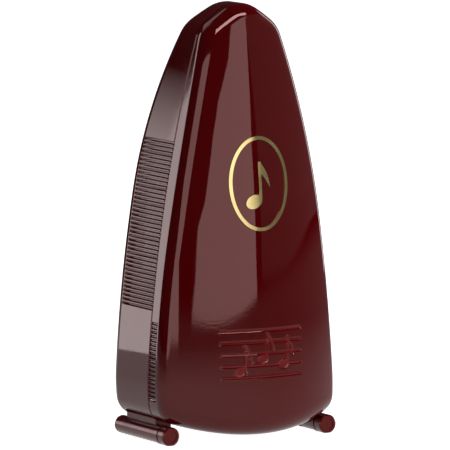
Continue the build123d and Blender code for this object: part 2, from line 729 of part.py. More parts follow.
# ---- pendulum -----------------------------------------------------------------------
def pallet_anchor():
    """Anchor on the pendulum arbor, its two pallets astride the escape wheel."""
    _, escape_at = train_centres()
    gap_r = ESCAPE_TIP_R + 2.0
    arc = Circle(gap_r + 2.2) - Circle(gap_r)
    fan = [on_circle(20, angle) for angle in (22, 90, 158)]
    keep = make_face(Polyline((0, 0), *fan, close=True))
    arch = Pos(*escape_at) * (arc & keep)
    arch_top = escape_at[1] + gap_r
    neck = Pos(0, (PIVOT_AT[1] + arch_top) / 2) * Rectangle(2.4, PIVOT_AT[1] - arch_top + 1)
    boss = Pos(*PIVOT_AT) * Circle(2.6)
    anchor = slab(arch + neck + boss, 5.1, 6.1)
    return anchor - disc(PIVOT_AT, 1.3, 0, 20)


def pendulum_arbor():
    """Arbor of the pendulum, from the rod clamp to the rear plate."""
    rod_back = ROD_FRONT_Y + ROD_T
    neck_y = rod_back + 4.4
    front = FRONT_PLATE_Y + PLATE_T + 0.2
    back = REAR_PLATE_Y - 0.65
    return turned(PIVOT_AT, [
        (rod_back, neck_y, 1.6), (neck_y, front, 1.0), (front, back, 1.3),
        (back, REAR_PLATE_Y + PLATE_T - 0.1, 1.0)])


def pendulum_hub():
    """Brass boss that clamps the rod to the arbor."""
    hub = disc(PIVOT_AT, 3.6, ROD_FRONT_Y + ROD_T, ROD_FRONT_Y + ROD_T + 3.0)
    return hub - disc(PIVOT_AT, 1.6, -20, 5)


def pendulum_rod():
    """Flat steel rod with a row of tempo notches down one edge."""
    low, high = ROD_Z
    blade = RectangleRounded(ROD_W, high - low, ROD_W / 2 - 0.05)
    sketch = Pos(0, (low + high) / 2) * blade + Pos(*PIVOT_AT) * Circle(3.2)
    notches = int((SCALE_Z[1] - SCALE_Z[0] - 6.0) / NOTCH_PITCH)
    for notch in range(notches):
        z = SCALE_Z[0] + 5.0 + notch * NOTCH_PITCH
        sketch -= Pos(ROD_W / 2, z) * Circle(0.35)
    return slab(sketch, ROD_FRONT_Y, ROD_FRONT_Y + ROD_T) - disc(PIVOT_AT, 0.8, -20, 5)


def hub_screw():
    """Screw through the rod into the hub, on the pivot axis."""
    at = PIVOT_AT
    head = disc(at, 2.2, ROD_FRONT_Y - 1.1, ROD_FRONT_Y)
    head -= Pos(at[0], ROD_FRONT_Y - 1.1, at[1]) * Box(3.6, 0.9, 0.6)
    return head + disc(at, 0.8, ROD_FRONT_Y, ROD_FRONT_Y + ROD_T)


def counterweight():
    """Lead-filled disc riveted to the lower end of the rod."""
    at = (0.0, ROD_Z[0] + 4.5)
    bob = disc(at, BOB_R, ROD_FRONT_Y - BOB_T, ROD_FRONT_Y)
    return chamfer(bob.edges(), 0.6)


def counterweight_rivet():
    """Rivet that joins the disc and the rod."""
    at = (0.0, ROD_Z[0] + 4.5)
    return disc(at, 1.9, ROD_FRONT_Y + ROD_T, ROD_FRONT_Y + ROD_T + 0.7)


def weight_section(half_low, half_high, height):
    """Trapezoid front view of the tempo weight, wider at the bottom."""
    low, high = WEIGHT_Z - height / 2, WEIGHT_Z + height / 2
    face = make_face(Polyline((-half_low, low), (half_low, low), (half_high, high),
                              (-half_high, high), close=True))
    return fillet(face.vertices(), 1.0)


def tempo_weight():
    """Sliding weight that wraps the rod; its top edge reads the scale."""
    y_front, y_back = ROD_FRONT_Y - 2.6, ROD_FRONT_Y + ROD_T + 1.8
    weight = slab(weight_section(6.5, 5.0, 10.0), y_front, y_back)
    weight = chamfer(weight.edges().group_by(Axis.Y)[0], 0.5)
    slot = CLEAR / 2
    slot_x = ROD_W / 2 + slot
    slot_back = ROD_FRONT_Y + ROD_T + slot
    weight -= block(-slot_x, slot_x, ROD_FRONT_Y - slot, slot_back, 0, TOP_LIMIT_Z)
    low, high = WEIGHT_Z - SPRING_HALF_H, WEIGHT_Z + SPRING_HALF_H
    return weight - block(0.6, 2.4, ROD_FRONT_Y - 1.4, slot_back, low, high)


def weight_spring():
    """Leaf inside the weight that clicks into the rod's notches."""
    low, high = WEIGHT_Z - SPRING_HALF_H, WEIGHT_Z + SPRING_HALF_H
    return block(1.6, 1.95, ROD_FRONT_Y - 1.2, ROD_FRONT_Y + ROD_T, low, high)


# ---- key ----------------------------------------------------------------------------
def key_hub():
    """Hub on the winding arbor with a lug for the folding wing."""
    hub = disc(BARREL_AT, 3.4, WELL_FLOOR_Y + 0.2, WELL_FLOOR_Y + 0.65)
    x, z = BARREL_AT
    lug = block(x - 1.5, x + 1.5, WELL_FLOOR_Y + 0.65, KEY_PIN_Y, z - 1.2, z + 1.2)
    lug += Pos(x, KEY_PIN_Y, z) * Rot(0, 90, 0) * Cylinder(1.2, 3.0)
    return hub + lug - Pos(x, KEY_PIN_Y, z) * Rot(0, 90, 0) * Cylinder(KEY_PIN_R, 10.0)


def key_hinge_pin():
    """Pin through the hub's lug and both ears of the wing."""
    return Pos(BARREL_AT[0], KEY_PIN_Y, BARREL_AT[1]) * Rot(0, 90, 0) * Cylinder(KEY_PIN_R, 7.6)


def key_wing():
    """Folding wing of the key, lying flat in the well below the hinge."""
    x, z = BARREL_AT
    half_t = 0.75
    plate = Circle(WELL_R - 1.4) & (Pos(0, -WELL_R / 2) * Rectangle(15.0, WELL_R))
    plate -= Pos(0, 0.8) * Rectangle(3.7, 6.0)
    plate -= Pos(0, -7.4) * Ellipse(3.4, 1.5)
    wing = slab(Pos(x, z) * plate, KEY_PIN_Y - half_t, KEY_PIN_Y + half_t)
    for side in (-1, 1):
        ear = Pos(x + side * 2.85, KEY_PIN_Y, z) * Rot(0, 90, 0) * Cylinder(1.15, 2.0)
        wing += ear
    wing -= block(x - 9, x - 3.85, 20, 30, z - 2.2, z + 5)
    wing -= block(x + 3.85, x + 9, 20, 30, z - 2.2, z + 5)
    return wing - Pos(x, KEY_PIN_Y, z) * Rot(0, 90, 0) * Cylinder(KEY_PIN_R + RUN_GAP, 20.0)


# ---- build --------------------------------------------------------------------------
def build():
    """Write every sub-part."""
    os.makedirs("parts", exist_ok=True)
    ring, note = badge_parts()
    second_arbor, second_wheel, escape_arbor, escape_wheel = train_parts()
    pieces = {
        "front_cover": front_cover(), "badge_ring": ring, "badge_note": note,
        "rear_case": rear_case(), "left_foot_bar": foot_bar(-1), "right_foot_bar": foot_bar(1),
        "foot_screws": foot_screws(), "front_panel": front_panel(), "panel_screws": panel_screws(),
        "scale_plate": scale_plate(), "scale_screws": scale_screws(), "rod_rest": rod_rest(),
        "movement_front_plate": movement_plate(FRONT_PLATE_Y),
        "movement_rear_plate": movement_plate(REAR_PLATE_Y),
        "movement_pillars": movement_pillars(),
        "front_plate_bushes": plate_bushes(FRONT_PLATE_Y, 0.4),
        "rear_plate_bushes": plate_bushes(REAR_PLATE_Y, 0.4),
        "movement_mount_screws": mount_screws(), "rear_plate_screws": rear_plate_screws(),
        "great_wheel": great_wheel(), "barrel_drum": barrel_drum(), "barrel_lid": barrel_lid(),
        "mainspring": mainspring(), "winding_arbor": winding_arbor(),
        "ratchet_wheel": ratchet_wheel(), "click_lever": click_lever(),
        "click_stud": click_stud(), "click_spring": click_spring(),
        "second_arbor": second_arbor, "second_wheel": second_wheel,
        "escape_arbor": escape_arbor, "escape_wheel": escape_wheel,
        "pallet_anchor": pallet_anchor(), "pendulum_arbor": pendulum_arbor(),
        "pendulum_hub": pendulum_hub(), "pendulum_rod": pendulum_rod(), "hub_screw": hub_screw(),
        "counterweight": counterweight(), "counterweight_rivet": counterweight_rivet(),
        "tempo_weight": tempo_weight(), "weight_spring": weight_spring(),
        "key_hub": key_hub(), "key_hinge_pin": key_hinge_pin(), "key_wing": key_wing(),
    }
    for name, solid in pieces.items():
        save(solid, name)
        print(name, round(solid.volume, 2))


build()
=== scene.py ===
# %% [markdown]
# # A pocket metronome in its gloss case
# The clockwork, the case and everything that fits or moves comes in as a finished frame.
# This lesson gives it its looks: a camera, soft studio light, one material for each real
# finish, and finer pieces where light has to run smoothly over a surface.

# %% Load the frame
import json
import math

import bpy
import numpy as np
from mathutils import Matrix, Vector


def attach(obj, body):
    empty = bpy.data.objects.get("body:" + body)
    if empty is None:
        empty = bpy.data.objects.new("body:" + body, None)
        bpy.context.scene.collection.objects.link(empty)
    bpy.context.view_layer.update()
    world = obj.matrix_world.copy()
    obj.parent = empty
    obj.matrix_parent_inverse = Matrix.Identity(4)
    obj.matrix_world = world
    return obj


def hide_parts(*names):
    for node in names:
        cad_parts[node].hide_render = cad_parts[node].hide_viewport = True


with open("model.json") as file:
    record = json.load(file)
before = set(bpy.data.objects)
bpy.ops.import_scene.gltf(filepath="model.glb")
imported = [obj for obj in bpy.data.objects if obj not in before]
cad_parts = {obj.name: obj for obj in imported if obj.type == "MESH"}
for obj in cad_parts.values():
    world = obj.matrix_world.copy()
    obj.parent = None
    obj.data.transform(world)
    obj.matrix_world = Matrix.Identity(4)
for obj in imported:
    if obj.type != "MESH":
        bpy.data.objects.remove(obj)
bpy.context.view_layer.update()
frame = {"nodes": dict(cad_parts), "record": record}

MM = 0.001

# %% [markdown]
# ## Camera
# The case is seen from its left front, a little above its middle, through a long lens
# that keeps its sides nearly parallel. A small shift frames it.

# %% Camera
LOOK_AT = Vector((0, -0.0005, 0.080))
AZIMUTH, ELEVATION, DISTANCE = math.radians(-29.1), math.radians(6.52), 2.186


def direction(azimuth, elevation):
    """Unit vector from the object towards a place around it; azimuth 0 is the front."""
    flat = math.cos(elevation)
    return Vector((math.sin(azimuth) * flat, -math.cos(azimuth) * flat, math.sin(elevation)))


lens = bpy.data.cameras.new("camera")
camera = bpy.data.objects.new("camera", lens)
bpy.context.collection.objects.link(camera)
towards = direction(AZIMUTH, ELEVATION)
camera.location = LOOK_AT + towards * DISTANCE
camera.rotation_euler = towards.to_track_quat("Z", "Y").to_euler()
lens.lens = 475.3
lens.sensor_width = 36
lens.shift_x, lens.shift_y = -6.9 / 450, -5.6 / 450
lens.clip_end = 20
bpy.context.scene.camera = camera
bpy.context.scene.view_settings.view_transform = "Standard"
print("camera", tuple(round(v, 3) for v in camera.location))

# %% [markdown]
# ## Nodes and colours
# One small function adds a shader node with its settings and its links, and one turns the
# hex colours of a paint chart into the linear values that the shader works in.

# %% Helpers for materials
def linear(hex_colour):
    """Linear colour of an sRGB hex value."""
    parts = [int(hex_colour[i:i + 2], 16) / 255 for i in (1, 3, 5)]
    return [p / 12.92 if p <= 0.04045 else ((p + 0.055) / 1.055) ** 2.4 for p in parts] + [1.0]


def add_node(tree, kind, settings=None, links=None):
    """Add a shader node; settings are sockets or properties, links are (node, output)."""
    node = tree.nodes.new(kind)
    for key, value in (settings or {}).items():
        if isinstance(key, str) and hasattr(node, key):
            setattr(node, key, value)
        else:
            node.inputs[key].default_value = value
    for key, (source, output) in (links or {}).items():
        tree.links.new(source.outputs[output], node.inputs[key])
    return node


def new_material(name, colour, roughness, metallic=0.0, ior=None):
    """A Principled material with one finish, and its tree and shader for more nodes."""
    material = bpy.data.materials.new(name)
    material.use_nodes = True
    tree = material.node_tree
    shader = tree.nodes["Principled BSDF"]
    shader.inputs["Base Color"].default_value = linear(colour)
    shader.inputs["Roughness"].default_value = roughness
    shader.inputs["Metallic"].default_value = metallic
    if ior:
        shader.inputs["IOR"].default_value = ior
    return material, tree, shader


print("gloss red is", [round(v, 3) for v in linear("#5c0307")[:3]])

# %% [markdown]
# ## Studio light
# A gloss case is drawn by what it mirrors. Tall soft boxes stand round it on the floor:
# one fills the middle of the front, a bright one lies along the left side, and a narrow
# one draws the line on the corner between them. Each gives an even, plain light.

# %% Soft boxes
def soft_box(name, azimuth, distance, width, low, high, radiance):
    """Upright area light that faces the object; radiance is what a mirror shows of it."""
    height = high - low
    light = bpy.data.lights.new(name, "AREA")
    light.shape = "RECTANGLE"
    light.size, light.size_y = width, height
    light.energy = radiance * math.pi * width * height
    box = bpy.data.objects.new(name, light)
    bpy.context.collection.objects.link(box)
    out = direction(math.radians(azimuth), 0)
    box.location = out * distance + Vector((0, 0, (low + high) / 2))
    box.rotation_euler = out.to_track_quat("Z", "Y").to_euler()
    box.visible_camera = False
    return box


soft_box("right_light", 65, 1.5, 2.2, 0.0, 1.2, 0.23)
soft_box("rim_light", 111, 0.8, 0.18, 0.0, 0.6, 2.8)
overhead = soft_box("overhead_light", 0, 0.0, 1.6, 1.0, 2.6, 1.4)
overhead.rotation_euler = (0, 0, 0)
overhead.location = (0, 0.2, 1.8)
overhead.visible_glossy = False
fill = soft_box("fill_light", 80, 1.6, 1.2, 0.1, 1.1, 1.6)
fill.visible_glossy = False


def high_box(name, azimuth, elevation, distance, width, height, radiance):
    """Light above the object that shows only in its gloss."""
    box = soft_box(name, azimuth, distance, width, 0.0, height, radiance)
    out = direction(math.radians(azimuth), math.radians(elevation))
    box.location = Vector((0, -0.01, 0.155)) + out * distance
    box.rotation_euler = out.to_track_quat("Z", "Y").to_euler()
    box.visible_diffuse = False
    return box


high_box("crown_light", 5.5, 44.0, 2.0, 1.9, 0.52, 11.0)
high_box("roof_light", -152, 45, 1.5, 0.9, 0.8, 1.0)

# %% [markdown]
# ## Shaped reflectors
# Over a curved gloss wall the outline of a light is what the eye reads as the form. The
# four main lights are cut-out glowing sheets, so that each highlight ends where the case
# bends. They show in the gloss; only the front one also lights the case.

# %% Shaped reflectors
MAIN_EDGE = (
    (-26.6, 0.0), (24.0, 0.0), (23.5, 0.30), (26.3, 0.55), (29.0, 0.70), (34.0, 1.00), (13.4, 0.70),
    (8.0, 0.59), (-3.1, 0.47), (-8.4, 0.365), (-15.7, 0.152), (-23.6, 0.025))
CORNER_EDGE = ((-62.0, 0.0), (-36.0, 0.0), (-34.0, 0.70), (-76.0, 0.70), (-75.5, 0.30), (-62.5, 0.12))
SIDE_EDGE = ((-148.6, 0.0), (-148.6, 0.15), (-149.4, 0.21), (-149.4, 0.34), (-138.0, 0.34), (-138.0, 0.0))
BACK_EDGE = ((-152.3, 0.0), (-152.3, 0.22), (-149.4, 0.22), (-148.6, 0.15), (-148.6, 0.0))


def reflector(name, edge, distance, radiance, fade=None):
    """Upright glowing sheet with a straight-sided outline, given by azimuth and height.

    The glow can fade out upwards between two heights.
    """
    azimuths = [a for a, _ in edge]
    middle = (min(azimuths) + max(azimuths)) / 2
    out = direction(math.radians(middle), 0)
    across = Vector((-out.y, out.x, 0))
    corners = []
    for azimuth, height in edge:
        offset = distance * math.tan(math.radians(azimuth - middle))
        corners.append(out * distance + across * offset + Vector((0, 0, height)))
    mesh = bpy.data.meshes.new(name)
    mesh.from_pydata(corners, [], [tuple(range(len(corners)))])
    sheet = bpy.data.objects.new(name, mesh)
    bpy.context.collection.objects.link(sheet)
    material, tree, shader = new_material(name, "#000000", 1.0)
    tree.nodes.remove(shader)
    glow = add_node(tree, "ShaderNodeEmission", {"Strength": radiance, "Color": (1, 1, 1, 1)})
    if fade:
        place = add_node(tree, "ShaderNodeTexCoord")
        parts = add_node(tree, "ShaderNodeSeparateXYZ", links={"Vector": (place, "Object")})
        add_fade = add_node(tree, "ShaderNodeMapRange", {
            "From Min": fade[0], "From Max": fade[1], "To Min": radiance, "To Max": 0.02},
            {"Value": (parts, "Z")})
        tree.links.new(add_fade.outputs[0], glow.inputs["Strength"])
    tree.links.new(glow.outputs[0], tree.nodes["Material Output"].inputs["Surface"])
    mesh.materials.append(material)
    sheet.visible_camera = False
    sheet.visible_diffuse = name == "front_reflector"
    return sheet


reflector("front_reflector", MAIN_EDGE, 1.5, 2.42)
reflector("corner_reflector", CORNER_EDGE, 1.2, 2.5)
reflector("side_reflector", SIDE_EDGE, 0.46, 2.95)
reflector("back_reflector", BACK_EDGE, 0.46, 3.2, fade=(0.13, 0.205))

# %% [markdown]
# ## World and floor
# The case stands on plain white paper. The gloss sees less of the paper than the eye does:
# to glossy rays the floor is a painted reflection, painted pools of light that glow at the
# front left and a little behind the left side, and fade out with distance.

# %% World and floor
world = bpy.data.worlds.new("studio")
bpy.context.scene.world = world
world.use_nodes = True
world.node_tree.nodes["Background"].inputs["Color"].default_value = (1, 1, 1, 1)
world.node_tree.nodes["Background"].inputs["Strength"].default_value = 0.03

# Painted light: where the floor's painted pools of light sit and how they fade; only the gloss sees them.
FRONT_GLOW_AT, REAR_GLOW_AT = (-0.2, -0.3, 0.0), (-0.3, 0.3, 0.0)
GLOW_REACH = 2.0  # metres; the stops below are distance from the front glow and its strength
GLOW_STOPS = ((0.25, 1.0), (0.62, 0.52), (0.85, 0.2), (1.3, 0.2), (1.6, 0.0))
bpy.ops.mesh.primitive_plane_add(size=12)
floor = bpy.context.object
floor.name = "floor"
floor_paint, tree, shader = new_material("floor_paper_and_painted_glow", "#fafafa", 0.9)
shader.inputs["Specular IOR Level"].default_value = 0.0
rays = add_node(tree, "ShaderNodeLightPath")
lift = add_node(tree, "ShaderNodeEmission", {"Color": (1, 1, 1, 1), "Strength": 1.0})
place = add_node(tree, "ShaderNodeTexCoord")
far = add_node(tree, "ShaderNodeVectorMath", {"operation": "DISTANCE"}, {0: (place, "Object")})
far.inputs[1].default_value = FRONT_GLOW_AT
share = add_node(tree, "ShaderNodeMath", {"operation": "DIVIDE"}, {0: (far, "Value")})
share.inputs[1].default_value = GLOW_REACH
# painted pool of light at the front left, fading with distance
painted_front_light_pool = add_node(tree, "ShaderNodeValToRGB", links={"Fac": (share, 0)})
painted_front_light_pool.color_ramp.elements.remove(painted_front_light_pool.color_ramp.elements[1])
painted_front_light_pool.color_ramp.elements[0].position = 0.0
painted_front_light_pool.color_ramp.elements[0].color = (1, 1, 1, 1)
for distance, level in GLOW_STOPS:
    painted_front_light_pool.color_ramp.elements.new(distance / GLOW_REACH).color = (level, level, level, 1)
# painted pool of light a little behind the left side
behind = add_node(tree, "ShaderNodeVectorMath", {"operation": "DISTANCE"}, {0: (place, "Object")})
behind.inputs[1].default_value = REAR_GLOW_AT
painted_left_light_pool = add_node(tree, "ShaderNodeMapRange", {
    "From Min": 0.15, "From Max": 0.5, "To Min": 0.7, "To Max": 0.0}, {"Value": (behind, "Value")})
glow = add_node(tree, "ShaderNodeMath", {"operation": "MAXIMUM"}, {0: (painted_front_light_pool, 0), 1: (painted_left_light_pool, 0)})
# painted reflection: the floor glows with the painted pools of light
mirrored = add_node(tree, "ShaderNodeEmission", {"Color": (1, 1, 1, 1)}, {"Strength": (glow, 0)})
seen = add_node(tree, "ShaderNodeAddShader")
tree.links.new(shader.outputs[0], seen.inputs[0])
tree.links.new(lift.outputs[0], seen.inputs[1])
by_eye = add_node(tree, "ShaderNodeMixShader", links={0: (rays, "Is Camera Ray")})
tree.links.new(shader.outputs[0], by_eye.inputs[1])
tree.links.new(seen.outputs[0], by_eye.inputs[2])
# glossy rays see the painted glow in place of the lit paper
by_gloss = add_node(tree, "ShaderNodeMixShader", links={0: (rays, "Is Glossy Ray")})
tree.links.new(by_eye.outputs[0], by_gloss.inputs[1])
tree.links.new(mirrored.outputs[0], by_gloss.inputs[2])
tree.links.new(by_gloss.outputs[0], tree.nodes["Material Output"].inputs["Surface"])
floor.data.materials.append(floor_paint)
print("floor", tuple(round(v, 2) for v in floor.dimensions))

# %% [markdown]
# ## Case outline
# Seen from the front the case is a closed line of arcs that run smoothly into each other:
# arched bottom, round foot corner, bowed side, shoulder, roof and round top. A table of
# arc radius and sweep, walked from the bottom, says the whole line.

# %% Outline
OUTLINE_ARCS = (
    (105.8815, 17.1637), (7.5, 65.8730), (60.5326, 9.8257), (565.0, 12.7554),
    (12.0, 36.1506), (74.888, 5.4492), (12.5, 32.7825))
BOTTOM_Z = 2.7
WALL = 1.8


def walk_outline():
    """Arcs of the right half as (first heading, last heading, centre x, centre z, radius)."""
    x, z, heading = 0.0, BOTTOM_Z, 0.0
    arcs = []
    for radius, sweep in OUTLINE_ARCS:
        centre_x = x - radius * math.sin(heading)
        centre_z = z + radius * math.cos(heading)
        last = heading + math.radians(sweep)
        arcs.append((heading, last, centre_x, centre_z, radius))
        x = centre_x + radius * math.sin(last)
        z = centre_z - radius * math.cos(last)
        heading = last
    print("outline ends at", round(x, 3), round(z, 3), "heading", round(math.degrees(heading), 3))
    return arcs


ARCS = walk_outline()
SPACING = (12, 14, 8, 60, 10, 5, 16)


def stations(heights):
    """Headings of the grid's rows: even steps on each arc, and the asked heights."""
    headings = []
    for (first, last, _, centre_z, radius), count in zip(ARCS, SPACING):
        headings += list(np.linspace(first, last, count, endpoint=False))
        low = centre_z - radius * math.cos(first)
        high = centre_z - radius * math.cos(last)
        headings += [math.acos((centre_z - z) / radius) for z in heights if low < z < high]
    headings = sorted(headings + [ARCS[-1][1]])
    kept = [headings[0]]
    for heading in headings[1:]:
        if heading - kept[-1] > 2e-6:
            kept.append(heading)
    return np.array(kept)


def outline_points(headings):
    """Points (x, z) and outward normals of the right half at these headings."""
    points, normals = [], []
    for heading in headings:
        arc = next(a for a in ARCS if heading <= a[1] + 1e-9)
        normal = (math.sin(heading), -math.cos(heading))
        points.append((arc[2] + arc[4] * normal[0], arc[3] + arc[4] * normal[1]))
        normals.append(normal)
    points, normals = np.array(points), np.array(normals)
    points[-1, 0] = points[0, 0] = 0.0
    normals[0], normals[-1] = (0, -1), (0, 1)
    return points, normals

# %% [markdown]
# ## Front and back skins
# The front of the cover is a bowed sheet that leans back and then rolls back further
# towards the top, and the back of the case is upright and then curves forward. Both are
# given by formula, so that the light runs over them without a ripple.

# %% Skins
FRONT_Y, PLAN_R, LEAN = -26.42, 60.0, 0.052
BEND_Z, BEND_R = 80.0, 400.0
BACK_Y, BACK_BEND_Z, BACK_BEND_R = 26.0, 90.0, 140.0
AXIS_Y = FRONT_Y + PLAN_R


def front_radius(z):
    """Radius of the bowed front round its upright axis, and its slope up the height."""
    above = np.maximum(0.0, z - BEND_Z)
    radius = PLAN_R - LEAN * (z - BOTTOM_Z) - above ** 2 / (2 * BEND_R)
    return radius, -LEAN - above / BEND_R


def front_skin(x, z, inset=0.0):
    """Y of the front at x and z."""
    radius, slope = front_radius(z)
    radius = radius - inset * np.sqrt(1 + slope ** 2)
    return AXIS_Y - np.sqrt(radius ** 2 - x ** 2)


def back_skin(x, z, inset=0.0):
    """Y of the back at x and z."""
    above = np.maximum(0.0, z - BACK_BEND_Z)
    return BACK_Y - BACK_BEND_R + np.sqrt((BACK_BEND_R - inset) ** 2 - above ** 2) + 0 * x


def front_ball(x, z, ball_r):
    """Centre y of a ball under the front skin, and the direction where it touches it."""
    height = z + 0.0
    for _ in range(4):
        _, slope = front_radius(height)
        height = z - ball_r * slope / np.sqrt(1 + slope ** 2)
    radius, slope = front_radius(height)
    level = 1 / np.sqrt(1 + slope ** 2)
    reach = radius - ball_r * level
    centre_y = AXIS_Y - np.sqrt(reach ** 2 - x ** 2)
    touch = np.stack([x / reach * level, (centre_y - AXIS_Y) / reach * level, -slope * level], 1)
    return centre_y, touch


def back_ball(x, z, ball_r):
    """Centre y of a ball under the back skin, and the direction where it touches it."""
    above = np.maximum(0.0, z - BACK_BEND_Z)
    reach = BACK_BEND_R - ball_r
    centre_y = BACK_Y - BACK_BEND_R + np.sqrt(reach ** 2 - above ** 2)
    touch = np.stack([0 * x, (centre_y - BACK_Y + BACK_BEND_R) / reach, above / reach], 1)
    return centre_y, touch


print("front at the foot", front_skin(np.zeros(1), np.full(1, BOTTOM_Z)))

# %% [markdown]
# ## Grip ribs and the sunk stave
# The sides carry a stack of fine horizontal ribs, and the lower front a sunk ornament of
# five lines and three notes. They are part of the moulding, so they are worked into the
# grid: rows are placed on every edge of a groove, and the points move inwards there.

# %% Rib and stave depth
RIB_PITCH, RIB_MOUTH, RIB_DEPTH = 1.55, 1.3, 0.5
COVER_RIBS, REAR_RIBS = (15.5, 46.0), (48.5, 112.0)
ROUNDING = 0.1


def rib_centres(reach):
    """Heights of the grooves."""
    count = int((reach[1] - reach[0]) / RIB_PITCH)
    return [reach[0] + (number + 0.5) * RIB_PITCH for number in range(count)]


def rib_rows(reach):
    """Heights where a groove starts, turns and ends."""
    half = RIB_MOUTH / 2
    steps = (-half - ROUNDING, -half, -half + ROUNDING, -ROUNDING, ROUNDING,
             half - ROUNDING, half, half + ROUNDING)
    return [centre + step for centre in rib_centres(reach) for step in steps]


def rib_depth(z, reach):
    """Depth of the ribs' grooves at height z."""
    depth = np.zeros_like(z)
    for centre in rib_centres(reach):
        away = np.abs(z - centre)
        cut = RIB_DEPTH * np.clip(1 - away / (RIB_MOUTH / 2), 0, 1)
        depth = np.maximum(depth, np.minimum(cut, RIB_DEPTH * 0.88))
    return depth


STAVE_Z, STAVE_PITCH, STAVE_HALF, LINE_HALF = 33.0, 4.2, 16.5, 0.42
STAVE_DEPTH, STAVE_EDGE = 0.45, 0.3
NOTES = ((-9.5, -1.5), (-0.5, -0.5), (8.5, -1.0))  # place across, and height in line pitches
HOOK = ((0.0, 0.0), (0.9, 2.0), (2.1, 3.6), (2.4, 6.0))  # a note's hook, out and down from its post


def from_segment(x, z, ax, az, bx, bz):
    """Distance of points from the line between two ends."""
    run, rise = bx - ax, bz - az
    along = np.clip(((x - ax) * run + (z - az) * rise) / (run ** 2 + rise ** 2), 0, 1)
    return np.hypot(x - ax - along * run, z - az - along * rise)


def stave_mask(x, z):
    """1 inside the strokes of the ornament, 0 outside, with a short soft edge."""
    near = np.full(x.shape, 99.0)
    for line in range(-2, 3):
        level = STAVE_Z + line * STAVE_PITCH
        near = np.minimum(near, from_segment(x, z, -STAVE_HALF, level, STAVE_HALF, level) - LINE_HALF)
    for note_x, step in NOTES:
        note_z = STAVE_Z + step * STAVE_PITCH
        turn = math.radians(22)
        u = (x - note_x) * math.cos(turn) + (z - note_z) * math.sin(turn)
        v = -(x - note_x) * math.sin(turn) + (z - note_z) * math.cos(turn)
        near = np.minimum(near, (np.hypot(u / 2.3, v / 1.65) - 1) * 1.8)
        post_x, top = note_x + 1.9, note_z + 9.5
        near = np.minimum(near, from_segment(x, z, post_x, note_z, post_x, top) - 0.42)
        hook = [(post_x + out, top - drop) for out, drop in HOOK]
        for start, end in zip(hook, hook[1:]):
            near = np.minimum(near, from_segment(x, z, *start, *end) - 0.5)
    return np.clip(0.5 - near / STAVE_EDGE, 0, 1)


def stave_rows():
    """Heights of the rows that the stave's lines need."""
    edge = LINE_HALF
    rows = []
    for line in range(-2, 3):
        level = STAVE_Z + line * STAVE_PITCH
        rows += [level + side * (edge + step) for side in (-1, 1) for step in (-0.2, -0.07, 0.07, 0.2)]
    return rows


print("grooves on one side", len(rib_centres(COVER_RIBS)), len(rib_centres(REAR_RIBS)))

# %% [markdown]
# ## Shells
# A flat grid is wrapped round the case: each row runs from the seam along the right wall,
# over the rounded edge, across the face and back along the left wall. Hand modelling
# with extrude and bevel can't hold the curve of so large a mirror, so the grid's points
# are placed by the formulas. A second, smaller grid makes the inside of the wall.

# %% Grid wrapped round the case
EDGE_STEPS = 12
WALL_SHARES = (0.45, 0.955, 0.98, 1.0)
WALL_DEPTHS = (1.0, 1.0, 0.6, 0.0)
SEAM_BEVEL = 0.35
GUARD = 0.06
RIM_PARTING = 0.000777  # metres; the two rims stand apart by this while they are bridged


def slerp(start, end, share):
    """Directions between two sets of unit vectors."""
    angle = np.arccos(np.clip((start * end).sum(1), -1, 1))[:, None]
    safe = np.maximum(np.sin(angle), 1e-9)
    return (np.sin((1 - share) * angle) * start + np.sin(share * angle) * end) / safe


def shell_rows(spec, inset, heights, across):
    """Points of one skin as an array of rows, columns and x, y, z, and its stave mask."""
    points, normals = outline_points(stations(heights))
    ball_r = spec["edge_r"]
    centre_x = points[:, 0] - ball_r * normals[:, 0]
    centre_z = points[:, 1] - ball_r * normals[:, 1]
    centre_y, touch = spec["ball"](centre_x, centre_z, ball_r)
    side = np.stack([normals[:, 0], 0 * centre_y, normals[:, 1]], 1)
    centre = np.stack([centre_x, centre_y, centre_z], 1)
    wall_x = points[:, 0] - inset * normals[:, 0]
    wall_z = points[:, 1] - inset * normals[:, 1]
    run = centre_y - spec["seam_y"]
    ribbed = np.sign(run) * np.minimum(np.abs(run) - 0.1, spec["rib_length"])
    dent = np.zeros_like(wall_z) if inset else rib_depth(wall_z, spec["ribs"])
    columns = []
    bevel = SEAM_BEVEL if inset == 0 else 0.0
    shares = [0 * ribbed, np.sign(run) * SEAM_BEVEL] + [share * ribbed for share in WALL_SHARES]
    sinks = [dent + bevel, dent] + [dent * strength for strength in WALL_DEPTHS]
    for out, sink in zip(shares, sinks):
        columns.append(np.stack([wall_x - sink * normals[:, 0], spec["seam_y"] + out,
                                 wall_z - sink * normals[:, 1]], 1))
    columns.append(np.stack([wall_x, centre_y - np.sign(run) * GUARD, wall_z], 1))
    for step in range(EDGE_STEPS + 1):
        columns.append(centre + (ball_r - inset) * slerp(side, touch, step / EDGE_STEPS))
    rim = columns[-1]
    middle = []
    shares = np.linspace(1, -1, across + 1)[1:-1]
    for share in np.concatenate([[0.998], shares, [-0.998]]):
        x, z = rim[:, 0] * share, rim[:, 2]
        middle.append(np.stack([x, spec["skin"](x, z, inset), z], 1))
    mirrored = [column * (-1, 1, 1) for column in reversed(columns)]
    rows = np.stack(columns + middle + mirrored, 1)
    mask = np.zeros(rows.shape[:2])
    if spec["stave"] and not inset:
        mask = stave_mask(rows[..., 0], rows[..., 2]) * (rows[..., 1] < -12)
        rows[..., 1] += mask * STAVE_DEPTH
    return rows, mask


def deselect():
    """Leave edit mode and select nothing."""
    if bpy.context.object and bpy.context.object.mode != "OBJECT":
        bpy.ops.object.mode_set(mode="OBJECT")
    bpy.ops.object.select_all(action="DESELECT")


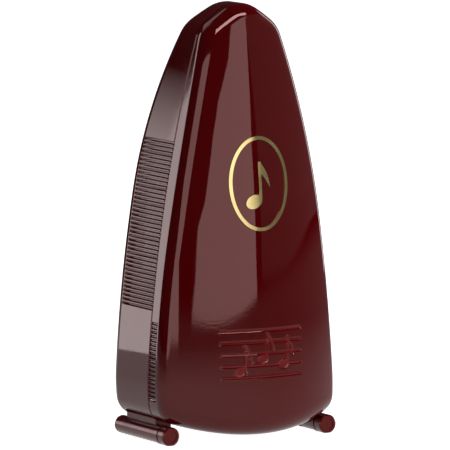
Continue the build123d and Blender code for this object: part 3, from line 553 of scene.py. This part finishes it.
def grid_piece(name, rows, mask):
    """Grid primitive whose points are moved to the given rows."""
    deselect()
    count_down, count_across = rows.shape[:2]
    bpy.ops.mesh.primitive_grid_add(x_subdivisions=count_across - 1, y_subdivisions=count_down - 1)
    piece = bpy.context.object
    piece.name = piece.data.name = name
    piece.data.vertices.foreach_set("co", (rows.reshape(-1, 3) * MM).ravel())
    layer = piece.data.attributes.new("sunk", "FLOAT", "POINT")
    layer.data.foreach_set("value", mask.ravel())
    piece.data.update()
    return piece


def select_points(piece, test):
    """Edit mode with just the points selected that pass the test."""
    deselect()
    bpy.context.view_layer.objects.active = piece
    piece.select_set(True)
    bpy.ops.object.mode_set(mode="EDIT")
    bpy.ops.mesh.select_mode(type="VERT")
    bpy.ops.mesh.select_all(action="DESELECT")
    bpy.ops.object.mode_set(mode="OBJECT")
    for vertex in piece.data.vertices:
        vertex.select = test(vertex.co)
    bpy.ops.object.mode_set(mode="EDIT")


def make_shell(name, spec):
    """Closed shell with an outer skin, an inner skin and a rim at the seam."""
    outer = grid_piece(name, *shell_rows(spec, 0.0, spec["rows"], spec["across"]))
    inner = grid_piece(name + "_inside", *shell_rows(spec, WALL, [], 48))
    seam = spec["seam_y"] * MM
    select_points(inner, lambda co: abs(co.y - seam) < 1e-7)
    bpy.ops.transform.translate(value=(0, RIM_PARTING, 0))
    deselect()
    inner.select_set(True)
    outer.select_set(True)
    bpy.context.view_layer.objects.active = outer
    bpy.ops.object.join()
    select_points(outer, lambda co: True)
    bpy.ops.mesh.remove_doubles(threshold=1e-6)
    select_points(outer, lambda co: min(abs(co.y - seam), abs(co.y - seam - RIM_PARTING)) < 1e-7)
    bpy.ops.mesh.bridge_edge_loops()
    select_points(outer, lambda co: abs(co.y - seam - RIM_PARTING) < 1e-7)
    bpy.ops.transform.translate(value=(0, -RIM_PARTING, 0))
    bpy.ops.mesh.select_all(action="SELECT")
    bpy.ops.mesh.normals_make_consistent(inside=False)
    bpy.ops.object.mode_set(mode="OBJECT")
    bpy.ops.object.shade_smooth_by_angle(angle=math.radians(30))
    loose = sum(1 for e in outer.data.edges if e.is_loose)
    print(name, "faces", len(outer.data.polygons), "loose edges", loose)
    return outer


COVER = {
    "edge_r": 6.5, "seam_y": -3.9, "ball": front_ball, "skin": front_skin, "ribs": COVER_RIBS,
    "rib_length": 7.0, "stave": True, "across": 236, "rows": rib_rows(COVER_RIBS) + stave_rows()}
REAR = {
    "edge_r": 6.0, "seam_y": -3.6, "ball": back_ball, "skin": back_skin, "ribs": REAR_RIBS,
    "rib_length": 23.1, "stave": False, "across": 60, "rows": rib_rows(REAR_RIBS)}

cover_shell = make_shell("cover_shell", COVER)
rear_shell = make_shell("rear_shell", REAR)

# %% [markdown]
# ## Key well
# The folding key lies in a round well in the back. It is moulded with the case: a short
# cup added to the wall, then bored out, with a small hole for the arbor in its floor.

# %% Well in the back
WELL_R, WELL_WALL, WELL_FLOOR_Y, WELL_FLOOR_T = 12.0, 1.4, 22.4, 1.1
BARREL_Z, ARBOR_HOLE_R = 24.7, 2.6


def round_tool(name, radius, y_from, y_to):
    """Cylinder along Y on the barrel's axis, used to add or to cut."""
    deselect()
    bpy.ops.mesh.primitive_cylinder_add(
        vertices=160, radius=radius * MM, depth=(y_to - y_from) * MM,
        location=(0, (y_from + y_to) / 2 * MM, BARREL_Z * MM), rotation=(math.pi / 2, 0, 0))
    tool = bpy.context.object
    tool.name = name
    return tool


def combine(piece, tool, operation):
    """Boolean of a piece and a tool; the tool is used up."""
    deselect()
    bpy.context.view_layer.objects.active = piece
    piece.select_set(True)
    step = piece.modifiers.new("combine", "BOOLEAN")
    step.operation, step.object, step.solver = operation, tool, "EXACT"
    bpy.ops.object.modifier_apply(modifier=step.name)
    bpy.data.objects.remove(tool)


well_tools = (
    ("cup", WELL_R + WELL_WALL, WELL_FLOOR_Y - WELL_FLOOR_T, BACK_Y - 0.2, "UNION"),
    ("bore", WELL_R, WELL_FLOOR_Y, BACK_Y + 1.0, "DIFFERENCE"),
    ("arbor_hole", ARBOR_HOLE_R, 15.0, BACK_Y, "DIFFERENCE"))
for name, radius, y_from, y_to, operation in well_tools:
    combine(rear_shell, round_tool(name, radius, y_from, y_to), operation)
deselect()
bpy.context.view_layer.objects.active = rear_shell
rear_shell.select_set(True)
bpy.ops.object.shade_smooth_by_angle(angle=math.radians(30))
print("rear shell with its well", len(rear_shell.data.polygons), "faces")

# %% [markdown]
# ## Hand the shells to the frame
# The cover's shell moves with the cover and the rear one stays with the case. Each stands
# in for the finished part of the same form.

# %% Hand the shells to the frame
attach(cover_shell, "cover")
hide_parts("front_cover")
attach(rear_shell, "case")
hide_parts("rear_case")

# %% [markdown]
# ## Textures
# No surface is even. Small helpers spread the polish, drift the colour between two near
# tones and add a fine relief, and each finish below says how much of each it has.

# %% Texture helpers
def grain_place(tree, stretch=(1, 1, 1)):
    """Coordinates fixed to the piece, stretched to draw a texture out into lines."""
    place = add_node(tree, "ShaderNodeTexCoord")
    return add_node(tree, "ShaderNodeMapping", {"Scale": stretch}, {"Vector": (place, "Object")}), 0


def vary_roughness(tree, shader, place, scale, low, high):
    """Uneven polish: noise spreads the roughness between two values."""
    noise = add_node(tree, "ShaderNodeTexNoise", {"Scale": scale, "Detail": 3.0}, {"Vector": place})
    spread = add_node(tree, "ShaderNodeMapRange", {
        "From Min": 0.35, "From Max": 0.7, "To Min": low, "To Max": high}, {"Value": (noise, 0)})
    tree.links.new(spread.outputs[0], shader.inputs["Roughness"])


def vary_colour(tree, shader, place, scale, first, second):
    """Soft patches between two near colours."""
    noise = add_node(tree, "ShaderNodeTexNoise", {"Scale": scale, "Detail": 4.0}, {"Vector": place})
    blend = add_node(tree, "ShaderNodeMix", {"data_type": "RGBA"})
    blend.inputs[6].default_value = linear(first)
    blend.inputs[7].default_value = linear(second)
    tree.links.new(noise.outputs[0], blend.inputs[0])
    tree.links.new(blend.outputs[2], shader.inputs["Base Color"])
    return blend


def relief(tree, shader, place, scale, depth, strength):
    """Fine surface relief; depth in metres."""
    noise = add_node(tree, "ShaderNodeTexNoise", {"Scale": scale, "Detail": 2.0}, {"Vector": place})
    bump = add_node(tree, "ShaderNodeBump", {"Strength": strength, "Distance": depth},
                    {"Height": (noise, 0)})
    tree.links.new(bump.outputs[0], shader.inputs["Normal"])


# %% [markdown]
# ## Moulded plastics
# Three mouldings: polished red for the case, satin red for the feet and grained black for
# the inner panel. They differ in how finely the mould was finished.

# %% Moulded plastics
def gloss_moulded_plastic():
    """Deep red clear gloss; the sunk stave is a little lighter, as the polish misses it."""
    material, tree, shader = new_material("gloss_moulded_plastic", "#630308", 0.05, ior=1.5)
    shader.inputs["Specular Tint"].default_value = linear("#ffccc7")
    place = grain_place(tree)
    vary_roughness(tree, shader, place, 55.0, 0.02, 0.045)
    relief(tree, shader, place, 900.0, 0.0001, 0.02)
    sunk = add_node(tree, "ShaderNodeAttribute", {"attribute_name": "sunk"})
    blend = vary_colour(tree, shader, place, 30.0, "#600308", "#66040a")
    cut = add_node(tree, "ShaderNodeMix", {"data_type": "RGBA"})
    cut.inputs[7].default_value = linear("#8a060c")
    tree.links.new(sunk.outputs["Fac"], cut.inputs[0])
    tree.links.new(blend.outputs[2], cut.inputs[6])
    tree.links.new(cut.outputs[2], shader.inputs["Base Color"])
    return material


def satin_moulded_plastic():
    """The same red as the case, softer: it is handled and stood on."""
    material, tree, shader = new_material("satin_moulded_plastic", "#6d050b", 0.12, ior=1.5)
    shader.inputs["Specular Tint"].default_value = linear("#ffb4ad")
    place = grain_place(tree)
    vary_roughness(tree, shader, place, 90.0, 0.1, 0.2)
    vary_colour(tree, shader, place, 60.0, "#68050a", "#72060d")
    relief(tree, shader, place, 1500.0, 0.00005, 0.05)
    return material


def matt_black_plastic():
    """Fine spark-eroded grain that breaks every highlight into a soft grey."""
    material, tree, shader = new_material("matt_black_plastic", "#101012", 0.5, ior=1.5)
    place = grain_place(tree)
    vary_roughness(tree, shader, place, 70.0, 0.42, 0.6)
    vary_colour(tree, shader, place, 40.0, "#0e0e10", "#151517")
    relief(tree, shader, place, 4000.0, 0.00006, 0.35)
    return material


# %% [markdown]
# ## Metals
# Each metal shows the tool that finished it: lines from a brush, rings from a lathe, the
# pits of a casting. The lines are noise stretched along the way that the tool went.

# %% Metals
def polished_pale_gold():
    """Thin lacquered gold: bright, with slight haze where it was wiped."""
    material, tree, shader = new_material("polished_pale_gold", "#bdaa73", 0.2, 1.0)
    place = grain_place(tree)
    vary_roughness(tree, shader, place, 180.0, 0.14, 0.28)
    vary_colour(tree, shader, place, 90.0, "#b39f66", "#c6b47f")
    relief(tree, shader, place, 1200.0, 0.00003, 0.1)
    return material


def anodised_aluminium():
    """Satin plate with the faint upright lines of its brushing."""
    material, tree, shader = new_material("anodised_aluminium", "#d9d9d5", 0.35, 1.0)
    lines = grain_place(tree, (1.0, 1.0, 0.02))
    vary_roughness(tree, shader, lines, 3000.0, 0.3, 0.42)
    vary_colour(tree, shader, lines, 2000.0, "#d2d2ce", "#dededa")
    relief(tree, shader, lines, 5000.0, 0.00002, 0.2)
    return material


def brushed_brass():
    """Clock brass, brushed across in long lines and a little warmer in patches."""
    material, tree, shader = new_material("brushed_brass", "#c9a14e", 0.3, 1.0)
    lines = grain_place(tree, (0.03, 1.0, 1.0))
    vary_roughness(tree, shader, lines, 2500.0, 0.24, 0.4)
    vary_colour(tree, shader, grain_place(tree), 120.0, "#c0963f", "#d0aa5a")
    relief(tree, shader, lines, 4000.0, 0.00003, 0.25)
    return material


def turned_steel():
    """Bright steel with the fine rings that the lathe tool leaves along a bar."""
    material, tree, shader = new_material("turned_steel", "#b4b4b6", 0.25, 1.0)
    rings = grain_place(tree, (0.05, 1.0, 0.05))
    vary_roughness(tree, shader, rings, 3000.0, 0.18, 0.32)
    vary_colour(tree, shader, grain_place(tree), 150.0, "#acacae", "#bcbcbe")
    relief(tree, shader, rings, 5000.0, 0.00002, 0.2)
    return material


def cast_lead():
    """Dull grey casting with a pitted skin and pale bloom."""
    material, tree, shader = new_material("cast_lead", "#5d5d60", 0.55, 1.0)
    place = grain_place(tree)
    vary_roughness(tree, shader, place, 200.0, 0.45, 0.7)
    vary_colour(tree, shader, place, 150.0, "#525255", "#6c6c70")
    relief(tree, shader, place, 900.0, 0.0001, 0.4)
    return material


def satin_plated_brass():
    """Plated weight with a satin bead-blast that softens its shine."""
    material, tree, shader = new_material("satin_plated_brass", "#cdb57a", 0.3, 1.0)
    place = grain_place(tree)
    vary_roughness(tree, shader, place, 160.0, 0.25, 0.38)
    vary_colour(tree, shader, place, 100.0, "#c7ae71", "#d3bd85")
    relief(tree, shader, place, 3500.0, 0.00003, 0.2)
    return material


finishes = {
    "case_plastic": gloss_moulded_plastic(), "foot_plastic": satin_moulded_plastic(),
    "badge_brass": polished_pale_gold(), "panel_plastic": matt_black_plastic(),
    "scale_aluminium": anodised_aluminium(), "brass": brushed_brass(), "steel": turned_steel(),
    "lead_weight": cast_lead(), "weight_metal": satin_plated_brass()}
print("finishes", sorted(finishes))

# %% [markdown]
# ## Softened edges
# No real edge is perfectly sharp. A narrow bevel on the pieces that show lets each edge
# catch a thin line of light; the badge is a stamped wire and is rounded most.

# %% Bevels on the finished parts
SOFT_EDGES = {
    "badge_ring": 0.16, "badge_note": 0.16, "tempo_weight": 0.3, "key_wing": 0.4, "scale_plate": 0.1,
    "rod_rest": 0.2, "counterweight": 0.3, "pendulum_hub": 0.15, "barrel_lid": 0.1}
for name, width in SOFT_EDGES.items():
    edge = frame["nodes"][name].modifiers.new("soft_edges", "BEVEL")
    edge.width = width * MM
    edge.segments = 3
    edge.limit_method = "ANGLE"
    edge.angle_limit = math.radians(40)
print("bevelled", len(SOFT_EDGES))

# %% [markdown]
# ## Tempo scale
# The plate behind the pendulum is printed with the usual metronome tempos. They run from
# slow at the top to fast at the bottom, in equal steps of ratio, with the numbers to the
# left and the right in turn so that they stay large enough to read.

# %% Printed numbers and ticks
TEMPOS = (list(range(40, 60, 2)) + list(range(60, 72, 3)) + list(range(72, 120, 4))
          + list(range(120, 144, 6)) + list(range(144, 209, 8)))
DIGIT_HIGH, INK, MARGIN = 1.9, 0.03, 6.5
NUMBER_X, TICK_X, TICK_LONG = 6.4, 2.7, 3.0
corners = [frame["nodes"]["scale_plate"].matrix_world @ Vector(c)
           for c in frame["nodes"]["scale_plate"].bound_box]
plate_front = min(c.y for c in corners) / MM
plate_low, plate_high = min(c.z for c in corners) / MM, max(c.z for c in corners) / MM
print("scale plate", plate_front, plate_low, plate_high)


def tempo_height(tempo):
    """Height of a tempo on the plate."""
    share = math.log(tempo / TEMPOS[0]) / math.log(TEMPOS[-1] / TEMPOS[0])
    return plate_high - MARGIN - share * (plate_high - plate_low - 2 * MARGIN)


def printed_number(tempo, side):
    """Number in a thin layer of ink, facing the front."""
    deselect()
    bpy.ops.object.text_add(rotation=(math.pi / 2, 0, 0))
    text = bpy.context.object
    text.data.body = str(tempo)
    text.data.size = DIGIT_HIGH * 1.35 * MM
    text.data.align_x, text.data.align_y = "CENTER", "CENTER"
    text.data.extrude = INK / 2 * MM
    bpy.ops.object.convert(target="MESH")
    text.location = (side * NUMBER_X * MM, (plate_front + INK * 0.2) * MM, tempo_height(tempo) * MM)
    bpy.ops.object.transform_apply(location=True, rotation=True, scale=True)
    return text


def printed_tick(tempo, side):
    """Short line from the middle of the plate towards its number."""
    deselect()
    bpy.ops.mesh.primitive_cube_add(
        size=1, location=(side * TICK_X * MM, (plate_front + INK * 0.2) * MM, tempo_height(tempo) * MM),
        scale=(TICK_LONG * MM, INK * MM, 0.22 * MM))
    bpy.ops.object.transform_apply(location=True, rotation=True, scale=True)
    return bpy.context.object


prints = []
for number, tempo in enumerate(TEMPOS):
    side = -1 if number % 2 else 1
    prints += [printed_number(tempo, side), printed_tick(tempo, side)]
deselect()
for item in prints:
    item.select_set(True)
bpy.context.view_layer.objects.active = prints[0]
bpy.ops.object.join()
scale_print = bpy.context.object
scale_print.name = scale_print.data.name = "scale_print"
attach(scale_print, "case")
print("printed tempos", len(TEMPOS))

# %% [markdown]
# ## Materials onto the pieces
# Every finished part names its finish, and takes the material made for it. The two shells
# are the case's plastic, and the scale's ink is the same black as the panel.

# %% Materials onto the pieces
for part in frame["record"]["subparts"]:
    for slot in frame["nodes"][part["node"]].material_slots:
        slot.material = finishes[part["material_slot"]]
own_pieces = (
    (cover_shell, "case_plastic"), (rear_shell, "case_plastic"), (scale_print, "panel_plastic"))
for piece, finish in own_pieces:
    piece.data.materials.clear()
    piece.data.materials.append(finishes[finish])
print("pieces of this lesson", [piece.name for piece, _ in own_pieces])
